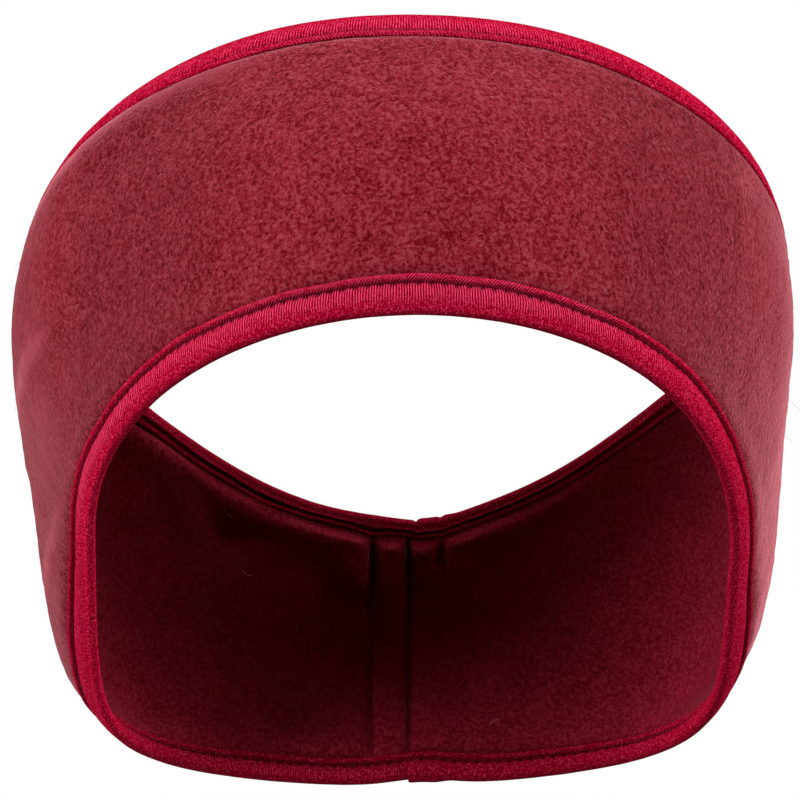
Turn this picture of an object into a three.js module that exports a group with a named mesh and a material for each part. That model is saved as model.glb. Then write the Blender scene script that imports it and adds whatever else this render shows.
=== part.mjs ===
import * as THREE from "three";

// A fleece ear warmer headband in millimetres, +Z up, in the form it takes on a head. The forehead faces
// -Y and the nape +Y. A turn is an angle round the head in degrees: 0 at the forehead, 90 over the ear at
// +X, 180 at the nape. The origin is the middle of the head hollow.

// Reach of the two rims from the origin, seen from above
const lowerHalfWidth = 73.6;
const lowerFrontReach = 98;
const lowerBackReach = 90;
const upperHalfWidth = 81.8;
const upperFrontReach = 64;
const upperBackReach = 90;

// Squareness of each rim's front and back half: 2 is an ellipse, more is squarer
const lowerFrontSquareness = 2;
const lowerBackSquareness = 3.9;
const upperFrontSquareness = 1.9;
const upperBackSquareness = 2.15;

// Height from the nape's lowest point to the highest over the forehead, and how much higher the side at
// +X sits, as shares of that height
const wornHeight = 161;
const lowerTilt = 0.01;
const upperTilt = 0.02;

// Cloth: open fleece, fleece squeezed inside the binding, and the knit tape of the binding
const fleeceWall = 2.4;
const pressedWall = 1.2;
const tapeWall = 0.7;
const clearance = 0.3;

// Binding, seen from outside and from inside, with the rolled lip beyond its stitch groove, and the lap
// of its ends, where the edge draws in
const bindingFace = 8.5;
const bindingBack = 6.5;
const lipWidth = 1.4;
const lipRaise = 0.35;
const grooveDepth = 0.35;
const lapLength = 6;
const lapSlope = 5;
const lapDip = 1.5;
const lapDipLength = 10;
const upperLapOffset = 2;

// Seam at the nape, and the seam allowance pressed flat beside it on the inside, with a row of stitches
// that far from the seam
const seamWidth = 1.1;
const seamDepth = 0.45;
const allowanceWidth = 10.5;
const allowanceStitch = 8.4;
const allowanceWall = 1.3;

// Steps round the head in degrees, finer at the nape, where the cloth gathers
const coarseStep = 6;
const fineStep = 2.5;
const napeFrom = 138;

// Rise of each rim over the origin as a share of the worn height, and how far the cloth leans inwards
// there in degrees, at equal turns from forehead to nape
const sections = [
  { turn: 0, lowerRise: 0.047, upperRise: 0.477, lowerLean: 6, upperLean: 50 },
  { turn: 22.5, lowerRise: 0.016, upperRise: 0.467, lowerLean: 0, upperLean: 47 },
  { turn: 45, lowerRise: -0.056, upperRise: 0.427, lowerLean: -8, upperLean: 40 },
  { turn: 67.5, lowerRise: -0.149, upperRise: 0.347, lowerLean: -15, upperLean: 32 },
  { turn: 90, lowerRise: -0.249, upperRise: 0.228, lowerLean: -21, upperLean: 23 },
  { turn: 112.5, lowerRise: -0.36, upperRise: 0.123, lowerLean: -30, upperLean: 27 },
  { turn: 135, lowerRise: -0.46, upperRise: 0.041, lowerLean: -36, upperLean: 33 },
  { turn: 157.5, lowerRise: -0.513, upperRise: -0.066, lowerLean: -23, upperLean: 38 },
  { turn: 180, lowerRise: -0.526, upperRise: -0.118, lowerLean: -14, upperLean: 42 },
];

// Swells (out above 0) and dents of the cloth. Out is a share of the worn height. Share and spread run up
// the section from the lower rim at 0 to the upper rim at 1, span is in degrees, and climb is how much
// the fold rises with each degree of turn.
const folds = [
  { turn: -80, share: 0.68, out: 0.019, span: 34, spread: 0.24, climb: 0 },
  { turn: -124, share: 0.24, out: 0.025, span: 30, spread: 0.2, climb: 0 },
  { turn: 124, share: 0.24, out: 0.022, span: 30, spread: 0.2, climb: 0 },
  { turn: -100, share: 0.46, out: -0.005, span: 18, spread: 0.07, climb: 0.004 },
  { turn: -122, share: 0.18, out: 0.004, span: 12, spread: 0.07, climb: 0.004 },
  { turn: 124, share: 0.14, out: -0.005, span: 9, spread: 0.06, climb: -0.004 },
  { turn: -144, share: 0.81, out: -0.014, span: 6, spread: 0.08, climb: 0.01 },
  { turn: -154, share: 0.78, out: 0.011, span: 5, spread: 0.09, climb: -0.012 },
  { turn: -162, share: 0.8, out: -0.012, span: 5, spread: 0.09, climb: -0.008 },
  { turn: -171, share: 0.8, out: -0.01, span: 4, spread: 0.09, climb: 0 },
  { turn: 169, share: 0.78, out: -0.009, span: 4, spread: 0.11, climb: 0 },
  { turn: 161, share: 0.8, out: 0.007, span: 5, spread: 0.1, climb: 0 },
];

const radians = THREE.MathUtils.degToRad;
const clamp = THREE.MathUtils.clamp;

// Cosine series through one column, whose rows are at equal turns, so both sides mirror each other
function cosineSeries(column) {
  const last = sections.length - 1;
  return sections.map((unused, wave) => {
    let sum = 0;
    sections.forEach((row, i) => {
      const weight = i === 0 || i === last ? 0.5 : 1;
      sum += weight * row[column] * Math.cos((Math.PI * wave * i) / last);
    });
    const weight = wave === 0 || wave === last ? 1 : 2;
    return (weight / last) * sum;
  });
}

const series = {
  lowerRise: cosineSeries("lowerRise"),
  upperRise: cosineSeries("upperRise"),
  lowerLean: cosineSeries("lowerLean"),
  upperLean: cosineSeries("upperLean"),
};

function sectionValue(column, turn) {
  return series[column].reduce((sum, value, wave) => sum + value * Math.cos(wave * radians(turn)), 0);
}

// Distance of an oval from the origin, its front and back halves each with a reach and a squareness
function ovalReach(turn, halfWidth, front, back, frontSquareness, backSquareness) {
  const along = Math.cos(radians(turn));
  const across = Math.abs(Math.sin(radians(turn)));
  const reach = along > 0 ? front : back;
  const power = along > 0 ? frontSquareness : backSquareness;
  return ((across / halfWidth) ** power + (Math.abs(along) / reach) ** power) ** (-1 / power);
}

function lowerReach(turn) {
  return ovalReach(
    turn, lowerHalfWidth, lowerFrontReach, lowerBackReach, lowerFrontSquareness, lowerBackSquareness,
  );
}

function upperReach(turn) {
  return ovalReach(
    turn, upperHalfWidth, upperFrontReach, upperBackReach, upperFrontSquareness, upperBackSquareness,
  );
}

function wrapTurn(turn) {
  return THREE.MathUtils.euclideanModulo(turn + 180, 360) - 180;
}

// Angle at the nape that covers a length along the cloth
function napeTurn(length) {
  return THREE.MathUtils.radToDeg(length / lowerBackReach);
}

// Turns where each binding ends, and how close a turn is to the middle of the lap there
const lowerLapEnd = 180;
const upperLapEnd = 180 - napeTurn(upperLapOffset);

function overLap(turn, lapEnd) {
  const away = wrapTurn(turn - lapEnd + napeTurn(lapLength / 2));
  return Math.exp(-((away / napeTurn(lapDipLength)) ** 2));
}

// Middle of the cloth without its folds: a curve from rim to rim that leaves each one at its lean
function smoothCloth(turn, share) {
  const angle = radians(turn);
  const side = Math.sin(angle);
  const behind = (1 - Math.cos(angle)) / 2;
  const lowerRise =
    wornHeight * (sectionValue("lowerRise", turn) + lowerTilt * side) + lapDip * overLap(turn, lowerLapEnd);
  const upperRise =
    wornHeight * (sectionValue("upperRise", turn) + upperTilt * side * behind)
    - lapDip * overLap(turn, upperLapEnd);
  const lowerLean = radians(sectionValue("lowerLean", turn));
  const upperLean = radians(sectionValue("upperLean", turn));
  const from = lowerReach(turn);
  const to = upperReach(turn);
  const chord = Math.hypot(to - from, upperRise - lowerRise);
  const toUpper = share * share * (3 - 2 * share);
  const leavesLower = chord * share * (1 - share) ** 2;
  const meetsUpper = -chord * share * share * (1 - share);
  const reach =
    from + (to - from) * toUpper - leavesLower * Math.sin(lowerLean) - meetsUpper * Math.sin(upperLean);
  const rise =
    lowerRise + (upperRise - lowerRise) * toUpper
    + leavesLower * Math.cos(lowerLean) + meetsUpper * Math.cos(upperLean);
  return new THREE.Vector3(reach * side, -reach * Math.cos(angle), rise);
}

function foldHeight(turn, share) {
  return folds.reduce((sum, fold) => {
    const away = wrapTurn(turn - fold.turn);
    const above = share - fold.share - fold.climb * away;
    return sum + wornHeight * fold.out * Math.exp(-((away / fold.span) ** 2) - (above / fold.spread) ** 2);
  }, 0);
}

// Unit vectors out of a surface and up along it, from two small steps
function directions(surface, turn, share) {
  const stepTurn = 0.2;
  const stepShare = 0.002;
  const up = surface(turn, share + stepShare).sub(surface(turn, share - stepShare)).normalize();
  const onward = surface(turn + stepTurn, share).sub(surface(turn - stepTurn, share));
  return { out: onward.cross(up).normalize(), up };
}

function foldedCloth(turn, share) {
  const { out } = directions(smoothCloth, turn, share);
  return smoothCloth(turn, share).addScaledVector(out, foldHeight(turn, share));
}

// Length of the cloth from rim to rim
function sectionLength(turn) {
  const pieces = 16;
  let length = 0;
  for (let i = 0; i < pieces; i++) {
    length += smoothCloth(turn, i / pieces).distanceTo(smoothCloth(turn, (i + 1) / pieces));
  }
  return length;
}

// The point at a distance up the cloth from the lower rim and out from its middle
function spot(turn, climb, offset) {
  const length = sectionLength(turn);
  const share = clamp(climb / length, 0, 1);
  const { out, up } = directions(foldedCloth, turn, share);
  return foldedCloth(turn, share)
    .addScaledVector(out, offset)
    .addScaledVector(up, climb - share * length);
}

// Turns of every ring from nape to nape, closer where the cloth gathers and closest at the seam, so that
// layers lie parallel
function stationTurns() {
  const half = [];
  for (let turn = 180; turn > 0; turn -= turn > napeFrom ? fineStep : coarseStep) {
    half.push(turn);
  }
  half.push(...[0.4, 1.3].map((share) => 180 - napeTurn(seamWidth * share)));
  return [...half.map((turn) => -turn), 0, ...half].sort((a, b) => a - b);
}

const stations = stationTurns();

// The rings of a strip from one turn to another, which may pass the nape
function stripTurns(from, to) {
  const round = [...stations.map((turn) => turn - 360), ...stations.slice(1)];
  const least = napeTurn(seamWidth / 4);
  return [from, ...round.filter((turn) => turn > from + least && turn < to - least), to];
}

// Closed skin through rings of points. A loop joins its last ring to its first, and otherwise the flat
// outline that made the rings closes both ends.
function skin(rings, outline) {
  const count = rings[0].length;
  const spans = outline ? rings.length - 1 : rings.length;
  const faces = [];
  for (let i = 0; i < spans; i++) {
    const here = i * count;
    const next = ((i + 1) % rings.length) * count;
    for (let j = 0; j < count; j++) {
      const k = (j + 1) % count;
      faces.push(here + j, next + j, next + k, here + j, next + k, here + k);
    }
  }
  if (outline) {
    const last = (rings.length - 1) * count;
    const flat = outline.map(([across, up]) => new THREE.Vector2(across, up));
    for (const [a, b, c] of THREE.ShapeUtils.triangulateShape(flat, [])) {
      faces.push(a, c, b, last + a, last + b, last + c);
    }
  }
  const geometry = new THREE.BufferGeometry();
  const points = rings.flat().flatMap((point) => point.toArray());
  geometry.setAttribute("position", new THREE.Float32BufferAttribute(points, 3));
  geometry.setIndex(faces);
  geometry.computeVertexNormals();
  return geometry;
}

function mesh(name, geometry, colour, roughness) {
  const material = new THREE.MeshStandardMaterial({ color: colour, roughness, metalness: 0 });
  const made = new THREE.Mesh(geometry, material);
  made.name = name;
  return made;
}

// Distance from the middle of the cloth to the inside and the outside of the tape
const tapeInside = pressedWall / 2 + clearance;
const tapeOutside = tapeInside + tapeWall;

// Rows up the free fleece, as shares of its height between the bindings
const freeShares = [0.02, 0.2, 0.4, 0.58, 0.72, 0.83, 0.92, 0.98];

// Fleece: one closed strip, thick where it is free and pressed where the binding grips it
function fleeceBand() {
  const free = fleeceWall / 2;
  const pressed = pressedWall / 2;

  const rings = stations.slice(1).map((turn) => {
    const length = sectionLength(turn);
    const fromSeam = radians(180 - Math.abs(turn)) * lowerBackReach;
    const sunk = seamDepth * Math.exp(-((fromSeam / seamWidth) ** 2));
    const side = (covered, thick) => {
      const start = covered + clearance;
      const run = length - 2 * start;
      return [
        [tapeOutside, pressed],
        [start, pressed],
        ...freeShares.map((share) => [start + run * share, thick]),
        [length - start, pressed],
        [length - tapeOutside, pressed],
      ];
    };
    const outside = side(bindingFace, free - sunk);
    const inside = side(bindingBack, free - sunk).map(([climb, offset]) => [climb, -offset]);
    const outline = [
      [tapeOutside - pressed, 0],
      ...outside,
      [length - tapeOutside + pressed, 0],
      ...inside.reverse(),
    ];
    return outline.map(([climb, offset]) => spot(turn, climb, offset));
  });
  return mesh("fleece_band", skin(rings), 0x8c2434, 0.95);
}

// Profile of the tape round an edge: down inside its outer leg, round the fold and up the inner leg, then
// back over the outside to the lip. Distances run from the rim, and lift grows the whole profile over a
// layer below it.
function tapeOutline(lift) {
  const outside = tapeOutside + lift;
  const inside = tapeInside + lift;
  const groove = bindingFace - lipWidth;
  const bend = tapeOutside;
  const fold = (radius, angle) => [
    bend - radius * Math.sin(radians(angle)),
    radius * Math.cos(radians(angle)),
  ];
  return [
    [bindingFace, inside],
    [bend, inside],
    fold(inside, 45),
    fold(inside, 90),
    fold(inside, 135),
    [bend, -inside],
    [bindingBack, -inside],
    [bindingBack, -outside],
    [bend, -outside],
    fold(outside, 135),
    fold(outside, 90),
    fold(outside, 45),
    [bend, outside],
    [groove - lipWidth / 2, outside],
    [groove, outside - grooveDepth],
    [groove + lipWidth / 4, outside + lipRaise / 2],
    [bindingFace - lipWidth / 3, outside + lipRaise],
    [bindingFace, outside],
  ];
}

// Binding: a tape round one rim, whose end laps over its start at the nape
function binding(name, isUpper, colour) {
  const end = isUpper ? upperLapEnd : lowerLapEnd;
  const start = end - 360 - napeTurn(lapLength);
  const overStart = start + 360 - napeTurn(clearance);
  const liftFrom = overStart - napeTurn(lapSlope);
  const turns = [...stripTurns(start, overStart), ...stripTurns(overStart, end).slice(1)];

  const rings = turns.map((turn) => {
    const lift = (tapeWall + clearance) * THREE.MathUtils.smoothstep(turn, liftFrom, overStart);
    const length = sectionLength(turn);
    return tapeOutline(lift).map(([fromRim, offset]) =>
      isUpper ? spot(turn, length - fromRim, offset) : spot(turn, fromRim, offset),
    );
  });
  const outline = tapeOutline(0);
  return mesh(name, skin(isUpper ? rings.reverse() : rings, outline), colour, 0.7);
}

// Seam allowance: the turned edge of the fleece, pressed to one side of the nape seam on the inside
function seamAllowance() {
  const top = fleeceWall / 2 + clearance;
  const middle = top + allowanceWall;
  const from = -180 + napeTurn(clearance);
  const to = from + napeTurn(allowanceWidth);
  const across = (share) => from + (to - from) * share;
  const stitches = allowanceStitch / allowanceWidth;
  const outline = [
    [from, top],
    [across(0.03), top + allowanceWall / 2],
    [across(0.14), middle],
    [across(stitches - 0.12), middle],
    [across(stitches), middle - allowanceWall / 2],
    [across(stitches + 0.1), middle - allowanceWall / 4],
    [to, top + allowanceWall / 2],
    ...stripTurns(from, to).slice(1).reverse().map((turn) => [turn, top]),
  ];
  const rings = freeShares.map((share) =>
    outline.map(([turn, depth]) => {
      const start = bindingBack + clearance;
      return spot(turn, start + (sectionLength(turn) - 2 * start) * share, -depth);
    }),
  );
  return mesh("seam_allowance", skin(rings, outline), 0x5c1420, 0.95);
}

const earWarmer = new THREE.Group();
earWarmer.add(fleeceBand());
earWarmer.add(seamAllowance());
earWarmer.add(binding("lower_binding", false, 0xc4173c));
earWarmer.add(binding("upper_binding", true, 0xc4173c));

export default earWarmer;
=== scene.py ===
# Fleece ear warmer headband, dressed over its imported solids. Metres, +Z up, forehead towards -Y.
import math

import bpy
import numpy as np
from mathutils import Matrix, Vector


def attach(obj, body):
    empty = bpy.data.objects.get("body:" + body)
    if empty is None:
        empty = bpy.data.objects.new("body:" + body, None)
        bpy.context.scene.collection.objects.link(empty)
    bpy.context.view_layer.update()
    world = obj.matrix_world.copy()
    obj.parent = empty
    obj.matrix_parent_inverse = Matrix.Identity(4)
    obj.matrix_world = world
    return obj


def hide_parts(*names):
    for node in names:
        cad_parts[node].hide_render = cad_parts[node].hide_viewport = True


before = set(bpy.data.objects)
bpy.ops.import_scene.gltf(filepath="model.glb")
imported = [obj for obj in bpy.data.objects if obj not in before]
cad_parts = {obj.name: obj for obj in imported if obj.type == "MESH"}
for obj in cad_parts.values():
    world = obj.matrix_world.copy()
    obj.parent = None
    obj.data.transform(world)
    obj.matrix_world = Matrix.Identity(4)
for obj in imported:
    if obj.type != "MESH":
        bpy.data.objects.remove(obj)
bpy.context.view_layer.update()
print("frame loaded with", len(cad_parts), "nodes")

mm = 0.001


def addObject(name, data):
    made = bpy.data.objects.new(name, data)
    bpy.context.scene.collection.objects.link(made)
    return made


def sightLine(azimuth, elevation):
    # the way from the middle to a camera or lamp, in degrees; 0, 0 is ahead of the forehead
    a, e = math.radians(azimuth), math.radians(elevation)
    return Vector((math.sin(a) * math.cos(e), -math.cos(a) * math.cos(e), math.sin(e)))


# ---- camera ----

cameraPlan = {
    "target": (-2 * mm, 0, 0),
    "distance": 1.2,
    "elevation": -6.0,  # from slightly below
    "lens": 237.06,
    "sensor": 36,
    "clip": (0.05, 100),
}


def makeCamera(plan):
    data = bpy.data.cameras.new("photoCamera")
    data.lens, data.sensor_width = plan["lens"], plan["sensor"]
    data.clip_start, data.clip_end = plan["clip"]
    camera = addObject("photoCamera", data)
    back = sightLine(0, plan["elevation"])
    camera.location = Vector(plan["target"]) + back * plan["distance"]
    camera.rotation_euler = (-back).to_track_quat("-Z", "Y").to_euler()
    bpy.context.scene.camera = camera


makeCamera(cameraPlan)
print("camera placed")

# ---- the form of the band ----
# A turn is degrees round the head: 0 at the forehead, 90 at the +X ear, 180 at the nape.
# A share runs up the cloth from the lower rim at 0 to the upper rim at 1.

bandShape = {
    "lowerHalfWidth": 73.6 * mm,
    "lowerFrontReach": 98 * mm,
    "lowerBackReach": 90 * mm,
    "lowerFrontSquareness": 2.0,
    "lowerBackSquareness": 3.9,
    "upperHalfWidth": 81.8 * mm,
    "upperFrontReach": 64 * mm,
    "upperBackReach": 90 * mm,
    "upperFrontSquareness": 1.9,
    "upperBackSquareness": 2.15,
    "wornHeight": 161 * mm,
    "lowerTilt": 0.01,
    "upperTilt": 0.02,
    "lapLength": 6 * mm,
    "lapDip": 1.5 * mm,
    "lapDipLength": 10 * mm,
    "upperLapOffset": 2 * mm,
}

# rises are shares of the worn height, leans are degrees inwards, at equal turns from forehead to nape
sections = {
    "lowerRise": [0.047, 0.016, -0.056, -0.149, -0.249, -0.36, -0.46, -0.513, -0.526],
    "upperRise": [0.477, 0.467, 0.427, 0.347, 0.228, 0.123, 0.041, -0.066, -0.118],
    "lowerLean": [6, 0, -8, -15, -21, -30, -36, -23, -14],
    "upperLean": [50, 47, 40, 32, 23, 27, 33, 38, 42],
}

# turn, share, out (share of the worn height), span (degrees), spread (share), climb (share per degree)
broadFolds = [
    (-80, 0.68, 0.019, 34, 0.24, 0),
    (-124, 0.24, 0.025, 30, 0.2, 0),
    (124, 0.24, 0.022, 30, 0.2, 0),
    (-108, 0.44, -0.005, 14, 0.07, 0.004),
    (-122, 0.18, 0.004, 12, 0.07, 0.004),
    (124, 0.14, -0.005, 9, 0.06, -0.004),
    (-144, 0.81, -0.014, 6, 0.08, 0.01),
    (-154, 0.78, 0.011, 5, 0.09, -0.012),
    (-162, 0.8, -0.012, 5, 0.09, -0.008),
    (-171, 0.8, -0.01, 4, 0.09, 0),
    (169, 0.78, -0.009, 4, 0.11, 0),
    (161, 0.8, 0.007, 5, 0.1, 0),
]

# slighter folds and gathers
fineFolds = [
    (-56, 0.82, 0.010, 16, 0.07, 0),
    (-80, 0.5, 0.005, 13, 0.05, -0.003),
    (-66, 0.6, 0.003, 5, 0.14, 0.006),
    (-136.5, 0.8, -0.014, 3.5, 0.15, 0.004),
    (-154, 0.87, -0.006, 3, 0.05, -0.014),
    (78, 0.55, 0.004, 8, 0.1, 0.005),
    (-112, 0, -0.011, 26, 0.12, 0),
    (-84, 0.03, -0.0095, 15, 0.16, 0),
    (-104, 0.5, 0.007, 14, 0.14, 0),
    (-117, 0.25, -0.006, 12, 0.12, 0),
    (-98, 0.21, 0.004, 13, 0.03, -0.0035),
    (112, 0, -0.004, 26, 0.12, 0),
    (113, 0.25, -0.0033, 14, 0.085, 0),
]

# how far the binding covers the cloth from its fold
hemWidth = {
    "outside": 8.5 * mm,
    "inside": 6.5 * mm,
    "insideNape": 4.3 * mm,  # where the upper edge curls in behind the head
    "napeSpan": 52,
    "napeSag": 1.1 * mm,  # and sags again at the sewn line beside the seam
    "sagPlace": 8.4 * mm,
    "sagWidth": 3.2 * mm,
    "clearance": 0.3 * mm,
}


def bell(value):
    return np.exp(-(value**2))


def flatBell(value):
    return np.exp(-(value**4))


def ease(value):
    value = np.clip(value, 0, 1)
    return value * value * (3 - 2 * value)


def swell(value):
    # a quarter round from 0 to 1
    return np.sqrt(1 - (1 - np.clip(value, 0, 1)) ** 2)


def cosineSeries(values):
    last = len(values) - 1
    ends = np.ones(last + 1)
    ends[[0, last]] = 0.5
    waves = np.arange(last + 1)
    return 2 / last * ends * (np.cos(np.pi * np.outer(waves, waves) / last) @ (ends * values))


series = {name: cosineSeries(np.array(values, float)) for name, values in sections.items()}


def sectionValue(name, turn):
    waves = np.arange(len(series[name]))
    return np.cos(np.radians(turn)[..., None] * waves) @ series[name]


def ovalReach(turn, rim):
    along = np.cos(np.radians(turn))
    across = np.abs(np.sin(np.radians(turn)))
    ahead = along > 0
    reach = np.where(ahead, bandShape[rim + "FrontReach"], bandShape[rim + "BackReach"])
    power = np.where(ahead, bandShape[rim + "FrontSquareness"], bandShape[rim + "BackSquareness"])
    wide = (across / bandShape[rim + "HalfWidth"]) ** power
    return (wide + (np.abs(along) / reach) ** power) ** (-1 / power)


def wrapTurn(turn):
    return np.mod(turn + 180, 360) - 180


def napeTurn(length):
    return math.degrees(length / bandShape["lowerBackReach"])


def seamDistance(turn):
    # distance from the nape seam along the cloth, positive on the -X side
    return np.radians(wrapTurn(turn - 180)) * bandShape["lowerBackReach"]


lapEnds = {"lower": 180.0, "upper": 180.0 - napeTurn(bandShape["upperLapOffset"])}


def overLap(turn, rim):
    away = wrapTurn(turn - lapEnds[rim] + napeTurn(bandShape["lapLength"] / 2))
    return bell(away / napeTurn(bandShape["lapDipLength"]))


def smoothCloth(turn, share):
    turn, share = np.broadcast_arrays(np.asarray(turn, float), np.asarray(share, float))
    angle = np.radians(turn)
    side, behind = np.sin(angle), (1 - np.cos(angle)) / 2
    height, dip = bandShape["wornHeight"], bandShape["lapDip"]
    low = height * (sectionValue("lowerRise", turn) + bandShape["lowerTilt"] * side)
    low = low + dip * overLap(turn, "lower")
    high = height * (sectionValue("upperRise", turn) + bandShape["upperTilt"] * side * behind)
    high = high - dip * overLap(turn, "upper")
    lowLean = np.radians(sectionValue("lowerLean", turn))
    highLean = np.radians(sectionValue("upperLean", turn))
    start, stop = ovalReach(turn, "lower"), ovalReach(turn, "upper")
    chord = np.hypot(stop - start, high - low)
    toUpper = share * share * (3 - 2 * share)
    leaves = chord * share * (1 - share) ** 2
    meets = -chord * share * share * (1 - share)
    reach = start + (stop - start) * toUpper - leaves * np.sin(lowLean) - meets * np.sin(highLean)
    rise = low + (high - low) * toUpper + leaves * np.cos(lowLean) + meets * np.cos(highLean)
    return np.stack([reach * side, -reach * np.cos(angle), rise], axis=-1)


def foldHeight(turn, share):
    total = np.zeros(np.broadcast(turn, share).shape)
    for foldTurn, foldShare, out, span, spread, climb in broadFolds + fineFolds:
        away = wrapTurn(turn - foldTurn)
        above = share - foldShare - climb * away
        fade = np.exp(-((away / span) ** 2) - (above / spread) ** 2)
        total = total + bandShape["wornHeight"] * out * fade
    return total


def unit(vectors):
    return vectors / np.linalg.norm(vectors, axis=-1, keepdims=True)


def directions(surface, turn, share):
    up = unit(surface(turn, share + 0.002) - surface(turn, share - 0.002))
    onward = surface(turn + 0.2, share) - surface(turn - 0.2, share)
    return unit(np.cross(onward, up)), up


def foldedCloth(turn, share):
    out, _ = directions(smoothCloth, turn, share)
    return smoothCloth(turn, share) + out * foldHeight(turn, share)[..., None]


def sectionLength(turn):
    steps = np.linspace(0, 1, 17)
    points = smoothCloth(np.asarray(turn, float)[..., None], steps)
    return np.linalg.norm(np.diff(points, axis=-2), axis=-1).sum(-1)


def clothSpot(turn, climb, offset):
    # the point at a distance up the cloth from the lower rim and out from its middle
    turn, climb, offset = np.broadcast_arrays(turn, climb, offset)
    length = sectionLength(turn[:, :1])
    share = np.clip(climb / length, 0, 1)
    out, up = directions(foldedCloth, turn, share)
    beyond = climb - share * length
    return foldedCloth(turn, share) + out * offset[..., None] + up * beyond[..., None]


def pathLengths(turns, share):
    # distance along the cloth from the first of many fine turns
    steps = np.linalg.norm(np.diff(smoothCloth(turns, share), axis=0), axis=-1)
    return np.concatenate([[0], np.cumsum(steps)])


def spacedTurns(share, spacing):
    # turns whose spots lie as far apart as spacing(distance from the nape seam) says
    turns = np.linspace(-180, 180, 2881)
    along = pathLengths(turns, share)
    density = 1 / spacing(np.where(along > along[-1] / 2, along - along[-1], along))
    gained = (density[1:] + density[:-1]) / 2 * np.diff(along)
    count = np.concatenate([[0], np.cumsum(gained)])
    return np.interp(np.linspace(0, count[-1], round(count[-1]) + 1), count, turns)


def insideHem(turn, rim):
    plan = hemWidth
    if rim == "lower":
        return plan["inside"] + 0 * turn
    near = flatBell(wrapTurn(turn - 180) / plan["napeSpan"])
    sag = plan["napeSag"] * bell((seamDistance(turn) - plan["sagPlace"]) / plan["sagWidth"])
    return plan["inside"] + (plan["insideNape"] - plan["inside"]) * near + sag


# soft rolls of the cloth inside the nape, between the sewn lines
napeRolls = {
    "stitchLine": 8.6 * mm,  # from the seam
    "shortGather": -7.6 * mm,
    "gatherLength": 7 * mm,
    "besideLength": 11 * mm,
    "height": 3.3 * mm,
    "groove": 0.45 * mm,  # half the flat width of a sewn line
    "edge": 3.4 * mm,  # from a sewn line to the roll's full height
    "fade": 5.2 * mm,
    "leftLength": 84 * mm,
    "rightLength": 44 * mm,
    "plateau": 1.1 * mm,
    "plateauWidth": 24 * mm,
    "plateauEdge": 2.6 * mm,
}


def insideRelief(turn, toUpper, toLower, plateau):
    plan = napeRolls
    distance = seamDistance(turn)
    seam, stitched = np.abs(distance), np.abs(distance - plan["stitchLine"])
    gather = np.hypot(
        distance - plan["shortGather"], np.maximum(toUpper - plan["gatherLength"], 0)
    )
    beside = np.hypot(distance - plan["stitchLine"], np.maximum(toUpper - plan["besideLength"], 0))
    ridge = np.minimum(np.minimum(toUpper, gather), beside)
    nearest = np.minimum(np.minimum(seam, stitched), gather) - plan["groove"]
    nearest = np.minimum(nearest, toUpper)
    reach = np.where(distance > 0, plan["leftLength"], plan["rightLength"])
    roll = plan["height"] * flatBell(distance / reach) * swell(nearest / plan["edge"])
    roll = roll * bell(np.maximum(ridge - plan["edge"], 0) / plan["fade"])
    flat = plateau * bell(distance / plan["plateauWidth"])
    inward = np.minimum(np.minimum(seam, toLower), toUpper)
    return roll + flat * swell(inward / plan["plateauEdge"])


# ---- meshes from rings of points ----


def ringMesh(name, rings, closed, capped=False):
    # rings: (ring, point, 3), each ring a closed loop; closed joins the last ring to the first
    count, size = rings.shape[:2]
    here = np.arange(count if closed else count - 1)[:, None] * size
    after = (here + size) % (count * size)
    j = np.arange(size)
    k = (j + 1) % size
    quads = np.stack([here + j, after + j, after + k, here + k], axis=-1).reshape(-1, 4)
    faces = quads.tolist()
    if capped:
        faces.append(list(range(size - 1, -1, -1)))
        faces.append(list(range((count - 1) * size, count * size)))
    data = bpy.data.meshes.new(name)
    data.from_pydata(rings.reshape(-1, 3).tolist(), [], faces)
    data.validate()
    return addObject(name, data)


def pointAttribute(piece, name, values, kind="FLOAT"):
    layer = piece.data.attributes.new(name, kind, "POINT")
    field = "value" if kind == "FLOAT" else "vector"
    layer.data.foreach_set(field, np.ascontiguousarray(values, np.float32).ravel())


# ---- node helpers ----


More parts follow.
